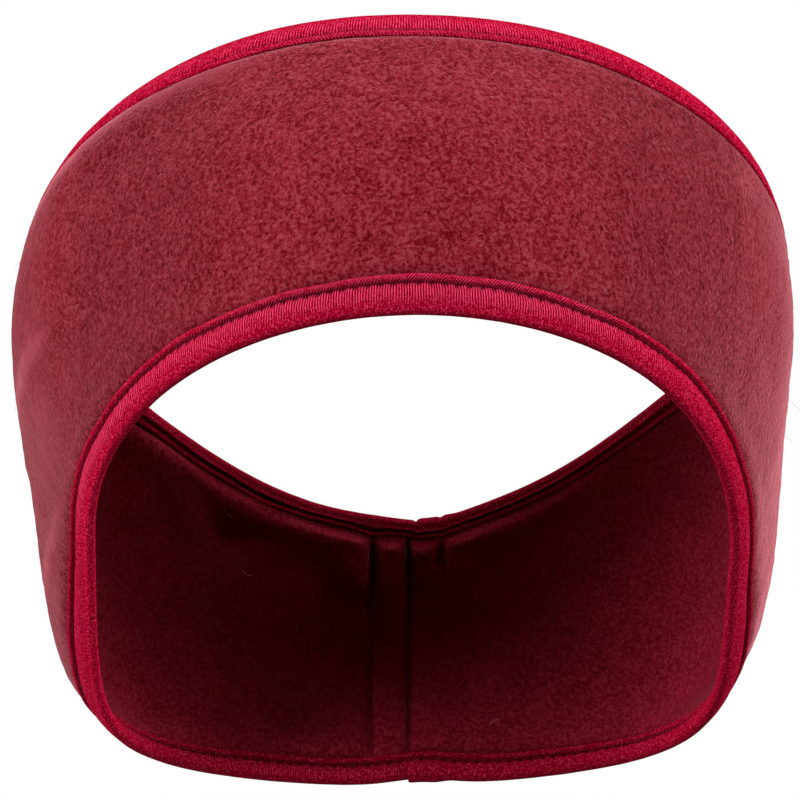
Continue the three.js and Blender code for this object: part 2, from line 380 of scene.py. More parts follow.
class Tree:
    # a small wrapper that adds nodes from left to right and links their sockets
    def __init__(self, tree):
        self.tree = tree
        self.count = 0

    def add(self, kind, inputs=None, **settings):
        node = self.tree.nodes.new(kind)
        node.location = (self.count % 12 * 190, -(self.count // 12) * 320)
        self.count += 1
        for name, value in settings.items():
            setattr(node, name, value)
        for key, value in (inputs or {}).items():
            self.feed(node.inputs[key], value)
        return node

    def feed(self, socket, value):
        if isinstance(value, bpy.types.NodeSocket):
            self.tree.links.new(value, socket)
        else:
            socket.default_value = value

    def math(self, operation, a, b=0.0, c=0.0):
        return self.add("ShaderNodeMath", {0: a, 1: b, 2: c}, operation=operation).outputs[0]

    def plus(self, a, b):
        return self.math("ADD", a, b)

    def minus(self, a, b):
        return self.math("SUBTRACT", a, b)

    def times(self, a, b):
        return self.math("MULTIPLY", a, b)

    def timesPlus(self, a, b, c):
        return self.math("MULTIPLY_ADD", a, b, c)

    def wave(self, kind, cycles):
        # a sine or cosine between 0 and 1
        return self.timesPlus(self.math(kind, self.times(cycles, 2 * math.pi)), 0.5, 0.5)

    def bell(self, value, centre, width):
        away = self.math("DIVIDE", self.minus(value, centre), width)
        return self.math("EXPONENT", self.times(self.math("POWER", away, 2.0), -1.0))

    def smoothStep(self, value, start, stop, before, after):
        limits = {"From Min": start, "From Max": stop, "To Min": before, "To Max": after}
        node = self.add(
            "ShaderNodeMapRange", {"Value": value, **limits}, interpolation_type="SMOOTHSTEP"
        )
        return node.outputs[0]

    def scaled(self, vector, factor):
        inputs = {0: vector, "Scale": factor}
        return self.add("ShaderNodeVectorMath", inputs, operation="SCALE").outputs[0]

    def layer(self, name, kind="FLOAT"):
        inputs = {"Name": name}
        return self.add("GeometryNodeInputNamedAttribute", inputs, data_type=kind).outputs[0]

    def roughness(self, seed, size, height):
        # a smooth noise about zero
        place = self.add("GeometryNodeInputPosition").outputs[0]
        scale = self.math("DIVIDE", 1.0, size)
        inputs = {"Vector": place, "W": seed, "Scale": scale, "Detail": 1.0}
        noise = self.add("ShaderNodeTexNoise", inputs, noise_dimensions="4D").outputs[0]
        return self.times(self.minus(noise, 0.5), height)

    def raised(self, geometry, height):
        normal = self.add("GeometryNodeInputNormal").outputs[0]
        inputs = {"Geometry": geometry, "Offset": self.scaled(normal, height)}
        return self.add("GeometryNodeSetPosition", inputs).outputs[0]

    def scattered(self, points, instance, rotation, scale=(1, 1, 1)):
        inputs = {"Points": points, "Instance": instance, "Rotation": rotation, "Scale": scale}
        return self.add("GeometryNodeInstanceOnPoints", inputs).outputs[0]

    def dressed(self, geometry, material):
        whole = self.add("GeometryNodeRealizeInstances", {"Geometry": geometry}).outputs[0]
        inputs = {"Geometry": whole, "Material": material}
        return self.add("GeometryNodeSetMaterial", inputs).outputs[0]


def geometryTree(name, inputs):
    # numbers are given with their values, materials with None
    kinds = {float: "NodeSocketFloat", int: "NodeSocketInt", type(None): "NodeSocketMaterial"}
    tree = bpy.data.node_groups.new(name, "GeometryNodeTree")
    tree.interface.new_socket("Geometry", in_out="INPUT", socket_type="NodeSocketGeometry")
    for label, value in inputs.items():
        kind = kinds[type(value)]
        socket = tree.interface.new_socket(label, in_out="INPUT", socket_type=kind)
        if value is not None:
            socket.default_value = value
    tree.interface.new_socket("Geometry", in_out="OUTPUT", socket_type="NodeSocketGeometry")
    made = Tree(tree)
    return made, made.add("NodeGroupInput").outputs, made.add("NodeGroupOutput").inputs[0]


def runTree(piece, made, values):
    # the evaluated result becomes a plain mesh
    modifier = piece.modifiers.new(made.tree.name, "NODES")
    modifier.node_group = made.tree
    for socket in made.tree.interface.items_tree:
        if socket.in_out == "INPUT" and socket.name in values:
            modifier[socket.identifier] = values[socket.name]
    bpy.context.view_layer.update()
    evaluated = piece.evaluated_get(bpy.context.evaluated_depsgraph_get())
    plain = bpy.data.meshes.new_from_object(evaluated)
    piece.modifiers.clear()
    old = piece.data
    piece.data = plain
    plain.name = piece.name
    bpy.data.meshes.remove(old)
    plain.polygons.foreach_set("use_smooth", [True] * len(plain.polygons))
    print(piece.name, "has", sum(len(p.vertices) - 2 for p in plain.polygons), "triangles")


# ---- fleece strip ----

fleecePiece = {
    "wall": 2.4 * mm,
    "pressedWall": 1.2 * mm,  # squeezed inside the binding
    "rim": 1.6 * mm,  # from the binding's fold to the cut edge
    "shoulder": 2.2 * mm,  # where the cloth swells beside the binding
    "puff": 0.35 * mm,
    "puffEnd": 2.4 * mm,
    "puffFade": 3.2 * mm,
    "columnStep": 1.25 * mm,
    "napeStep": 0.9 * mm,
    "napeWidth": 75 * mm,
    "seamStep": 0.42 * mm,
    "seamMiddle": 1 * mm,
    "seamStepWidth": 11.5 * mm,
    "outerRows": 62,
    "innerRows": 56,
    "seamWidth": 1.1 * mm,
    "seamDepth": 0.6 * mm,
    "stitchLine": 8.4 * mm,  # topstitching beside the seam
    "stitchLineDepth": 0.4 * mm,
    "stitchLineWidth": 0.8 * mm,
    "allowanceStart": 0.6 * mm,  # the cloth lies flat under the seam allowance
    "allowanceEnd": 8.8 * mm,
    "allowanceFade": 1.6 * mm,
    "napEdge": 1.5 * mm,  # the nap is short beside the binding and the seam
    "napSeam": 1.2 * mm,
    "insideNap": 0.45,
    "swellHeight": 0.3 * mm,
    "swellSize": 9 * mm,
    "pillHeight": 0.22 * mm,
    "pillSize": 2.6 * mm,
    "seed": 4.0,
}
edgeRows = np.array([0, 0.3, 0.7, 1.2, 1.9, 2.8, 3.9]) * mm
hiddenRows = np.array([0, 0.35, 0.7])  # shares of what the binding covers

# where painted sheen lies on the outside, as a paler and flatter nap in place of light on ridges and
# grazing edges: turn, share, span (degrees), spread (share), climb, amount
paintedSheenPatches = [
    (-66, 0.85, 13, 0.03, 0, 1.0),
    (-42, 0.862, 15, 0.028, 0, 0.8),
    (-80, 0.497, 12, 0.03, -0.003, 1.0),
    (-79, 0.32, 6, 0.09, 0, 0.3),
    (-98, 0.21, 12, 0.022, -0.0035, 0.8),
    (94, 0.42, 12, 0.2, 0, 0.25),
    (102, 0.2, 16, 0.16, 0, 0.25),
]


def paintedSheenAmount(turn, share):
    total = np.zeros(np.broadcast(turn, share).shape)
    for patchTurn, patchShare, span, spread, climb, amount in paintedSheenPatches:
        away = wrapTurn(turn - patchTurn)
        above = share - patchShare - climb * away
        total = total + amount * np.exp(-((away / span) ** 4) - (above / spread) ** 2)
    return np.minimum(total, 1)


def columnSpacing(distance):
    plan = fleecePiece
    atSeam = flatBell((distance - plan["seamMiddle"]) / plan["seamStepWidth"])
    atNape = flatBell(distance / plan["napeWidth"])
    step = plan["columnStep"] + (plan["napeStep"] - plan["columnStep"]) * atNape
    return step + (plan["seamStep"] - step) * atSeam


def fleeceSide(turn, length, coveredLow, coveredHigh, rows, inner):
    # climbs, half thicknesses and free shares of one side, from the lower rim to the upper
    plan = fleecePiece
    even = np.linspace(0, 1, rows)[1:-1]
    last = edgeRows[-1]
    atLow = plan["rim"] + hiddenRows * (coveredLow - plan["rim"])
    atHigh = length - plan["rim"] - hiddenRows[::-1] * (coveredHigh - plan["rim"])
    low = coveredLow + edgeRows
    middle = coveredLow + last + (length - coveredLow - coveredHigh - 2 * last) * even
    high = length - coveredHigh - edgeRows[::-1]
    climb = np.concatenate([atLow, low, middle, high, atHigh], axis=1)
    toLower, toUpper = climb - coveredLow, length - coveredHigh - climb
    away = np.minimum(toLower, toUpper)
    full = swell(away / plan["shoulder"])
    puff = plan["puff"] * full * bell(np.maximum(away - plan["puffEnd"], 0) / plan["puffFade"])
    thick = plan["pressedWall"] / 2 + (plan["wall"] - plan["pressedWall"]) / 2 * full + puff
    distance = seamDistance(turn)
    thick = thick - plan["seamDepth"] * bell(distance / plan["seamWidth"]) * full
    if inner:
        relief = insideRelief(turn, toUpper, toLower, napeRolls["plateau"])
        covered = ease(distance / plan["allowanceStart"])
        covered = covered * (1 - ease((distance - plan["allowanceEnd"]) / plan["allowanceFade"]))
        thick = thick + relief * (1 - covered) * (away > 0)
    else:
        line = bell((distance - plan["stitchLine"]) / plan["stitchLineWidth"])
        thick = thick - plan["stitchLineDepth"] * line * full
    free = ease(away / plan["napEdge"]) * (1 - bell(distance / plan["napSeam"]))
    return climb, thick, free * (plan["insideNap"] if inner else 1.0)


def makeFleece():
    plan = fleecePiece
    turn = spacedTurns(0.5, columnSpacing)[1:, None]
    length = sectionLength(turn)
    gap = hemWidth["clearance"]
    outside = hemWidth["outside"] + gap + 0 * length
    outer = fleeceSide(turn, length, outside, outside, plan["outerRows"], False)
    lowHem, highHem = insideHem(turn, "lower") + gap, insideHem(turn, "upper") + gap
    inner = fleeceSide(turn, length, lowHem, highHem, plan["innerRows"], True)
    tip = plan["rim"] - plan["pressedWall"] / 2
    zero = 0 * length
    climb = np.concatenate([zero + tip, outer[0], length - tip, inner[0][:, ::-1]], axis=1)
    offset = np.concatenate([zero, outer[1], zero, -inner[1][:, ::-1]], axis=1)
    free = np.concatenate([zero, outer[2], zero, inner[2][:, ::-1]], axis=1)
    inside = np.zeros(climb.shape)
    inside[:, outer[0].shape[1] + 2 :] = 1
    piece = ringMesh("fleeceBand", clothSpot(turn, climb, offset), closed=True)
    pointAttribute(piece, "free", free)
    pointAttribute(piece, "inside", inside)
    # the share of painted sheen on the outside
    pointAttribute(piece, "paintedSheenShare", paintedSheenAmount(turn, climb / length) * (1 - inside))
    return piece


def napTree():
    numbers = {"Swell Height": 0.0, "Swell Size": 0.01, "Pill Height": 0.0, "Pill Size": 0.003}
    inputs = {**numbers, "Seed": 0.0, "Outside": None, "Inside": None}
    made, given, out = geometryTree("fleeceSwell", inputs)
    height = made.plus(
        made.roughness(given["Seed"], given["Swell Size"], given["Swell Height"]),
        made.roughness(given["Seed"], given["Pill Size"], given["Pill Height"]),
    )
    height = made.times(made.times(height, made.layer("free")), 2.0)
    whole = made.dressed(made.raised(given["Geometry"], height), given["Outside"])
    isInside = made.math("GREATER_THAN", made.layer("inside"), 0.5)
    inputs = {"Geometry": whole, "Selection": isInside, "Material": given["Inside"]}
    made.feed(out, made.add("GeometryNodeSetMaterial", inputs).outputs[0])
    return made


# ---- knit bindings ----

tapePiece = {
    "inside": 0.75 * mm,  # from the middle of the cloth to the tape
    "outside": 1.4 * mm,
    "crown": 0.46 * mm,
    "crownSkew": 0.8,
    "faceRows": 10,
    "groove": 1.62 * mm,  # from the lip's edge to the sewn line
    "pinchPlace": 0.5 * mm,
    "pinchWidth": 0.42 * mm,
    "lapLift": {"lower": 0.8 * mm, "upper": 0.45 * mm},
    "lapSlope": 5 * mm,
    "notch": 0.5 * mm,  # where the upper lap begins and ends
    "notchWidth": 0.7 * mm,
    "shiftEnd": 2.2 * mm,  # the rows nearer to the lip move with it
    "endRound": 0.35 * mm,
    "endFade": 0.2 * mm,
    "endStep": 0.12 * mm,
    "underRound": 0.4,  # what the covered face does of the rounding
    "columnStep": 0.38 * mm,
    "ribPitch": 0.56 * mm,
    "earStretch": 0.9,
    "stitchPitch": 2.66 * mm,
    "pinchDepth": 0.5 * mm,
    "grainHeight": 0.12 * mm,
    "grainSize": 5 * mm,
    "seed": 2.0,
    "wander": 0.16 * mm,  # how far the sewn line strays
}

# the lip and its stitch groove: distance back from the lip's edge, and raise over the tape, in mm
lipPoints = [
    (0.0, -0.65), (-0.12, -0.35), (-0.1, 0.02), (0.1, 0.32), (0.42, 0.48), (0.78, 0.46), (1.08, 0.24),
    (1.26, -0.06), (1.42, -0.27), (1.62, -0.36), (1.82, -0.32), (1.98, -0.15), (2.16, 0.0),
]

# rows of the covered face, in mm from the rim, and degrees round the two folds
tapeRows = {
    "underOutside": (8.3, 5.0, 1.6),
    "underFold": (45, 90, 135),
    "underInside": (1.6, 4.0, 6.3),
    "fold": (157, 135, 112, 90, 67, 45, 22),
    "underAcross": -0.01,  # keeps the covered face out of the ribs' pattern
}

# the sewn line's stray: waves round the head, share of the wander, start
strayWaves = [(9, 1.0, 0.7), (23, 0.7, 2.1), (41, 0.4, 0.0)]
strayGather = {"turn": -160, "span": 22, "gain": 1.8}


def tapeLeg(reach, side):
    # (from rim, offset, sideways lift, outward lift, across, pinch) from the lip to the fold
    plan = tapePiece
    face = plan["outside"]
    groove = reach - plan["groove"]
    rows = [(reach - back * mm, face + up * mm) for back, up in lipPoints]
    start = rows[-1][0]
    for t in np.linspace(0, 1, plan["faceRows"])[1:]:
        bulge = plan["crown"] * math.sin(math.pi * t ** plan["crownSkew"])
        rows.append((start + (face - start) * t, face + bulge))
    leg = []
    for fromRim, out in rows:
        across = groove - fromRim
        pinch = bell((across - plan["pinchPlace"]) / plan["pinchWidth"])
        leg.append((fromRim, side * out, 0.0, side, across, pinch))
    return leg


def tapeOutline():
    inner, bend = tapePiece["inside"], tapePiece["outside"]
    hidden = tapeRows["underAcross"]

    def fold(radius, angles, start):
        rows = []
        for a in np.radians(angles):
            along = start + radius * min(a, math.pi - a)
            sine, cosine = math.sin(a), math.cos(a)
            rows.append((bend - radius * sine, radius * cosine, -sine, cosine, along, 0.0))
        return rows

    under = [(d * mm, inner, 0.0, 1.0, hidden, 0.0) for d in tapeRows["underOutside"]]
    under += fold(inner, tapeRows["underFold"], hidden)
    under += [(d * mm, -inner, 0.0, -1.0, hidden, 0.0) for d in tapeRows["underInside"]]
    back = tapeLeg(hemWidth["inside"], -1.0)
    face = tapeLeg(hemWidth["outside"], 1.0)
    rows = under + back + fold(bend, tapeRows["fold"], face[-1][4]) + face[::-1]
    return np.array(rows), len(under)


def lapLift(turn, rim):
    plan = tapePiece
    over = lapEnds[rim] - napeTurn(bandShape["lapLength"])
    slope = napeTurn(plan["lapSlope"])
    return plan["lapLift"][rim] * ease((turn - (over - slope)) / slope)


def hemShift(turn, fromRim, rim):
    # how far a row of the inside leg moves towards the fold where the hem is narrower
    plan = tapePiece
    still = hemWidth["inside"] - plan["shiftEnd"] - plan["outside"]
    share = np.clip((fromRim - plan["outside"]) / still, 0, 1)
    return (hemWidth["inside"] - insideHem(turn, rim)) * share


def lapNotch(turn, rim):
    if rim == "lower":
        return 0 * turn
    width = napeTurn(tapePiece["notchWidth"])
    atEnd = wrapTurn(turn - lapEnds[rim])
    atStart = wrapTurn(turn - lapEnds[rim] + napeTurn(bandShape["lapLength"]))
    return tapePiece["notch"] * (bell(atEnd / width) + bell(atStart / width))


def bindingTurns(rim):
    end = lapEnds[rim]
    fine = np.linspace(end - 360 - napeTurn(bandShape["lapLength"]), end, 3200)
    return fine, pathLengths(fine, 0.0 if rim == "lower" else 1.0)


def strayed(turn, rim):
    # the lip's small wander, wider where the upper edge gathers at the nape
    angle = np.radians(turn)
    drift = sum(share * np.sin(waves * angle + start) for waves, share, start in strayWaves)
    if rim == "upper":
        gather = bell((wrapTurn(turn) - strayGather["turn"]) / strayGather["span"])
        drift = drift * (1 + strayGather["gain"] * gather)
    return tapePiece["wander"] * drift


def ribCount(turn, distance):
    # the ribs are drawn out where the tape is stretched over the ears
    plan = tapePiece
    pitch = plan["ribPitch"] * (1 + plan["earStretch"] * np.sin(np.radians(turn)) ** 2)
    return np.concatenate([[0], np.cumsum(np.diff(distance) * 2 / (pitch[1:] + pitch[:-1]))])


# how clearly the ribs show, and with them the painted highlight on their crests; the band mid-face at
# the sides is a painted satin highlight: lengths run across the tape from its groove, the rest are
# turns and shares
ribWearAndHighlight = {
    "frontStart": 1.8 * mm,
    "frontFade": 3.8 * mm,
    "frontWorn": 0.9,
    # the band of painted satin highlight mid-face at the sides
    "sidePlace": 2.6 * mm,
    "sideWidth": 1.8 * mm,
    "sideRise": 1.25,
    "clearTurn": -58,
    "clearSpan": 20,
    "clearLeast": 0.2,
    "rightStart": 14,
    "rightFade": 26,
    "rightWorn": 0.45,
    "lip": 0.75,
    "lipStart": 10,
    "lipFade": 35,
    "lipWorn": 0.55,
    "napeSpan": 55,
    "napeWorn": {"lower": 0.7, "upper": 0.5},
    "upper": 0.7,
    "upperSideWorn": 0.4,
}


def ribAndHighlightStrength(turn, across, inner, rim):
    # clear at the forehead, and at the sides in a band mid-face of painted satin highlight, fullest
    # beside the left ear; worn to a grain elsewhere
    plan = ribWearAndHighlight
    aside = np.sin(np.radians(turn)) ** 2
    right = wrapTurn(turn)
    front = 1 - plan["frontWorn"] * ease((across - plan["frontStart"]) / plan["frontFade"])
    clear = flatBell(wrapTurn(turn - plan["clearTurn"]) / plan["clearSpan"])
    side = bell((across - plan["sidePlace"]) / plan["sideWidth"])
    side = side * (plan["clearLeast"] + (1 - plan["clearLeast"]) * clear)
    strength = front + (side - front) * ease(aside * plan["sideRise"])
    onRight = ease((right - plan["rightStart"]) / plan["rightFade"])
    strength = strength * (1 - plan["rightWorn"] * onRight)
    fromMiddle = ease((np.abs(right) - plan["lipStart"]) / plan["lipFade"])
    strength = np.where(across < 0, plan["lip"] - plan["lipWorn"] * fromMiddle, strength)
    behind = plan["napeWorn"][rim] * flatBell(wrapTurn(turn - 180) / plan["napeSpan"])
    if rim == "upper":
        return strength * (plan["upper"] - plan["upperSideWorn"] * aside) * (1 - behind * inner)
    return strength * (1 - behind)


def makeBinding(rim):
    plan = tapePiece
    outline, covered = tapeOutline()
    fromFold, offset, sideways, outward, across, pinch = outline.T
    fine, along = bindingTurns(rim)
    last = along[-1]
    even = np.linspace(0, last, round(last / plan["columnStep"]) + 1)[1:-1]
    distance = np.concatenate([[0, plan["endStep"]], even, [last - plan["endStep"], last]])
    turn = np.interp(distance, along, fine)[:, None]
    sign = np.where(np.arange(len(outline)) < covered, plan["underRound"], -1.0)
    ends = np.exp(-distance / plan["endFade"]) + np.exp(-(last - distance) / plan["endFade"])
    lift = lapLift(turn, rim) + plan["endRound"] * ends[:, None] * sign
    share = np.clip(fromFold / hemWidth["outside"], 0, 1)
    fromRim = fromFold + sideways * lift + strayed(turn, rim) * share
    fromRim = fromRim - hemShift(turn, fromFold, rim) * (offset < 0) + lapNotch(turn, rim)
    climb = fromRim if rim == "lower" else sectionLength(turn) - fromRim
    rings = clothSpot(turn, climb, offset + outward * lift)
    layers = {
        "along": distance[:, None],
        "across": across,
        "pinch": pinch,
        "ribs": ribCount(turn[:, 0], distance)[:, None],
        "ribbedAndHighlit": ribAndHighlightStrength(turn, across, offset < 0, rim),
    }
    onward = 1 if rim == "lower" else -1
    piece = ringMesh(rim + "Binding", rings[::onward], closed=False, capped=True)
    for name, values in layers.items():
        pointAttribute(piece, name, np.broadcast_to(values, fromRim.shape)[::onward])
    return piece


def tapeTree():
    numbers = {"Stitch Pitch": 0.003, "Pinch Depth": 0.0, "Grain Height": 0.0, "Grain Size": 0.003}
    made, given, out = geometryTree("tapePinches", {**numbers, "Seed": 0.0, "Tape": None})
    cycles = made.math("DIVIDE", made.layer("along"), given["Stitch Pitch"])
    hole = made.math("POWER", made.wave("COSINE", cycles), 2.5)
    dip = made.times(made.times(hole, made.layer("pinch")), given["Pinch Depth"])
    grain = made.roughness(given["Seed"], given["Grain Size"], given["Grain Height"])
    shaped = made.raised(given["Geometry"], made.minus(grain, dip))
    made.feed(out, made.dressed(shaped, given["Tape"]))
    return made


# ---- seam allowance inside the nape ----

allowancePiece = {
    "wall": 1.25 * mm,
    "width": 10.5 * mm,
    "fromSeam": 0.2 * mm,
    "feather": 8.7 * mm,  # from here the cut edge thins out
    "cutEdge": 0.05 * mm,
    "stitchLine": 8.4 * mm,
    "stitchDepth": 1.15 * mm,
    "stitchWidth": 1.25 * mm,
    "edgeRound": 2.3 * mm,
    "crown": 0.3 * mm,
    "under": 1.18 * mm,  # where it lies on the fleece
    "tuck": 0.6 * mm,  # under the bindings at both ends
    "endRound": 2.8 * mm,
    "tuckedShare": 0.12,  # of its thickness
    "nap": 0.4,
    "rows": 74,
    "columns": 40,
    "underStep": 4,  # the covered face keeps every fourth column
}


def makeAllowance():
    plan = allowancePiece
    across = np.linspace(0, plan["width"], plan["columns"])
    height = plan["wall"] * swell(across / plan["edgeRound"])
    height = height + plan["crown"] * np.sin(np.pi * np.clip(across / plan["stitchLine"], 0, 1))
    sewn = bell((across - plan["stitchLine"]) / plan["stitchWidth"])
    thin = ease((across - plan["feather"]) / (plan["width"] - plan["feather"]))
    height = (height - plan["stitchDepth"] * sewn) * (1 - thin) + plan["cutEdge"]
    under = slice(None, None, -plan["underStep"])
    turn = -180 + np.degrees((across + plan["fromSeam"]) / bandShape["lowerBackReach"])
    turns = np.concatenate([turn, turn[under]])
    isTop = np.arange(len(turns)) < len(across)
    tops = np.where(isTop, np.concatenate([height, height[under]]), 0)
    full = np.where(isTop, 1 - np.concatenate([thin, thin[under]]), 0)
    length = sectionLength(turns[:, None])[:, 0]
    gap, tuck = hemWidth["clearance"], plan["tuck"]
    coveredLow, coveredHigh = [insideHem(turns, rim) + gap for rim in ("lower", "upper")]
    run = length - coveredLow - coveredHigh + 2 * tuck
    rings = []
    for share in np.linspace(0, 1, plan["rows"]):
        climb = coveredLow - tuck + run * share
        toLower, toUpper = climb - coveredLow, length - coveredHigh - climb
        rounded = swell((np.minimum(toLower, toUpper) + tuck) / plan["endRound"])
        relief = insideRelief(turns, np.maximum(toUpper, 0), np.maximum(toLower, 0), 0.0) * full
        thick = tops * (plan["tuckedShare"] + (1 - plan["tuckedShare"]) * rounded)
        depth = plan["under"] * (0.5 + 0.5 * rounded) + thick + relief
        rings.append(clothSpot(turns[:, None], climb[:, None], -depth[:, None])[:, 0])
    piece = ringMesh("seamAllowance", np.array(rings), closed=False, capped=True)
    free = np.broadcast_to(np.where(isTop, plan["nap"], 0), (plan["rows"], len(turns)))
    pointAttribute(piece, "free", free)
    pointAttribute(piece, "inside", np.ones(free.shape))
    return piece


# ---- threads ----

threadPiece = {
    "length": 2.35 * mm,
    "width": 0.26 * mm,
    "rise": 0.16 * mm,
    "sunk": 0.25 * mm,  # below the face of the tape, in its groove
    "seamSunk": 0.22 * mm,  # below the face of the fleece
    "seamProud": 0.2 * mm,  # over the foot of the seam allowance
    "seamStart": 1.5 * mm,  # from the bindings
}


def threadTree():
    numbers = {"Stitch Length": 0.002, "Thread Width": 0.0003, "Stitch Rise": 0.0002}
    made, given, out = geometryTree("threadRow", {**numbers, "Thread": None})
    half = made.times(given["Stitch Length"], 0.5)

    def corner(x, z):
        return made.add("ShaderNodeCombineXYZ", {"X": x, "Z": z}).outputs[0]

    corners = {
        "Start": corner(made.times(half, -1.0), 0.0),
        "Middle": corner(0.0, made.times(given["Stitch Rise"], 2.0)),
        "End": corner(half, 0.0),
    }
    arch = made.add("GeometryNodeCurveQuadraticBezier", {"Resolution": 5, **corners})
    ring = {"Resolution": 6, "Radius": made.times(given["Thread Width"], 0.5)}
    circle = made.add("GeometryNodeCurvePrimitiveCircle", ring)
    stitch = made.add(
        "GeometryNodeCurveToMesh",
        {"Curve": arch.outputs[0], "Profile Curve": circle.outputs[0], "Fill Caps": True},
    )
    axes = {
        "Primary Axis": made.layer("onward", "FLOAT_VECTOR"),
        "Secondary Axis": made.layer("outward", "FLOAT_VECTOR"),
    }
    turned = made.add(
        "FunctionNodeAxesToRotation", axes, primary_axis="X", secondary_axis="Z"
    )
    dots = made.add("GeometryNodeMeshToPoints", {"Mesh": given["Geometry"]})
    placed = made.scattered(dots.outputs[0], stitch.outputs[0], turned.outputs[0])
    made.feed(out, made.dressed(placed, given["Thread"]))
    return made


def stitchRow(turn, climb, offset, side):
    # middles, onward and outward directions of a row of stitches
    spread = np.broadcast_arrays(turn, climb, offset)
    turn, climb, offset = [np.asarray(values, float)[:, None] for values in spread]
    places = clothSpot(turn, climb, offset)[:, 0]
    out, _ = directions(foldedCloth, turn, np.clip(climb / sectionLength(turn), 0, 1))
    return places, unit(np.gradient(places, axis=0)), out[:, 0] * side


def bindingStitches(rim):
    plan = tapePiece
    fine, along = bindingTurns(rim)
    middles = np.arange(0.5, along[-1] / plan["stitchPitch"]) * plan["stitchPitch"]
    turn = np.interp(middles, along, fine)
    shown = turn >= turn[-1] - 360  # the rest lie under the lap
    rows = []
    for reach, side in ((hemWidth["outside"], 1.0), (insideHem(turn, rim), -1.0)):
        groove = reach - plan["groove"]
        fromRim = groove + strayed(turn, rim) * groove / hemWidth["outside"]
        climb = fromRim if rim == "lower" else sectionLength(turn) - fromRim
        offset = side * (plan["outside"] + lapLift(turn, rim) - threadPiece["sunk"])
        rows.append([part[shown] for part in stitchRow(turn, climb, offset, side)])
    return rows


def seamStitches():
    plan, thread, pitch = allowancePiece, threadPiece, tapePiece["stitchPitch"]
    distance = plan["stitchLine"] + plan["fromSeam"]
    at = -180 + np.degrees(distance / bandShape["lowerBackReach"])
    length = float(sectionLength(np.array([at]))[0])
    rows = []
    for covered, offset, side in (
        (hemWidth["outside"], fleecePiece["wall"] / 2 - thread["seamSunk"], 1.0),
        (hemWidth["inside"], -(plan["under"] + thread["seamProud"]), -1.0),
    ):
        count = int((length - 2 * covered - 2 * thread["seamStart"]) / pitch)
        climb = covered + thread["seamStart"] + (np.arange(count) + 0.5) * pitch
        rows.append(stitchRow(np.full(count, at), climb, offset, side))
    return rows


def makeStitches(name, rows, tree, material):
    places, onward, outward = [np.concatenate(parts) for parts in zip(*rows)]
    data = bpy.data.meshes.new(name)
    data.from_pydata(places.tolist(), [], [])
    piece = addObject(name, data)
    pointAttribute(piece, "onward", onward, "FLOAT_VECTOR")
    pointAttribute(piece, "outward", outward, "FLOAT_VECTOR")
    values = {
        "Stitch Length": threadPiece["length"],
        "Thread Width": threadPiece["width"],
        "Stitch Rise": threadPiece["rise"],
        "Thread": material,
    }
    runTree(piece, tree, values)
    return piece


# ---- loose fibres ----

fuzzPiece = {"perArea": 140000.0, "length": 0.42 * mm, "radius": 0.03, "lean": 0.6, "seed": 11}
strayPiece = {"perArea": 420.0, "length": 4.2 * mm, "radius": 0.008, "lean": 1.15, "seed": 7}
fibreCurl = {"Start": (0, 0, -0.05), "Middle": (0.1, 0.12, 0.6), "End": (0.55, -0.1, 0.8)}


def fibreTree():
    numbers = {"Fibres per Area": 1000.0, "Fibre Length": 0.001, "Fibre Radius": 0.03}
    inputs = {**numbers, "Lean": 0.6, "Seed": 1, "Fibre": None}
    made, given, out = geometryTree("looseFibres", inputs)

    def randomBetween(kind, low, high, seed):
        node = made.add("FunctionNodeRandomValue", data_type=kind)
        sockets = {socket.name: socket for socket in node.inputs if socket.enabled}
        for name, value in (("Min", low), ("Max", high), ("Seed", seed)):
            made.feed(sockets[name], value)
        return next(socket for socket in node.outputs if socket.enabled)

    shown = made.math("GREATER_THAN", made.layer("free"), 0.3)
    ground = {"Mesh": given["Geometry"], "Selection": shown}
    spread = {"Density": given["Fibres per Area"], "Seed": given["Seed"]}
    dots = made.add("GeometryNodeDistributePointsOnFaces", {**ground, **spread})
    curl = made.add("GeometryNodeCurveQuadraticBezier", {"Resolution": 3, **fibreCurl})
    ring = {"Resolution": 3, "Radius": given["Fibre Radius"]}
    circle = made.add("GeometryNodeCurvePrimitiveCircle", ring)
    fibre = made.add(
        "GeometryNodeCurveToMesh", {"Curve": curl.outputs[0], "Profile Curve": circle.outputs[0]}
    )
    lean, back = given["Lean"], made.times(given["Lean"], -1.0)
    low = made.add("ShaderNodeCombineXYZ", {"X": back, "Y": back, "Z": 0.0}).outputs[0]
    high = made.add("ShaderNodeCombineXYZ", {"X": lean, "Y": lean, "Z": 2 * math.pi}).outputs[0]
    swing = randomBetween("FLOAT_VECTOR", low, high, given["Seed"])
    turnBy = made.add("FunctionNodeEulerToRotation", {0: swing}).outputs[0]
    turned = made.add(
        "FunctionNodeRotateRotation", {0: dots.outputs["Rotation"], 1: turnBy}, rotation_space="LOCAL"
    )
    shortest, longest = [made.times(given["Fibre Length"], share) for share in (0.5, 1.3)]
    length = randomBetween("FLOAT", shortest, longest, made.plus(given["Seed"], 1.0))
    points = dots.outputs["Points"]
    placed = made.scattered(points, fibre.outputs[0], turned.outputs[0], length)
    made.feed(out, made.dressed(placed, given["Fibre"]))
    return made


def makeFibres(name, ground, plan, tree, material):
    piece = addObject(name, ground.data.copy())
    values = {
        "Fibres per Area": plan["perArea"],
        "Fibre Length": plan["length"],
        "Fibre Radius": plan["radius"],
        "Lean": plan["lean"],
        "Seed": plan["seed"],
        "Fibre": material,
    }
    runTree(piece, tree, values)
    return piece


# ---- materials ----


def newMaterial(name):
    material = bpy.data.materials.new(name)
    material.use_nodes = True
    material.node_tree.nodes.clear()
    made = Tree(material.node_tree)
    return material, made, made.add("ShaderNodeTexCoord").outputs["Object"]


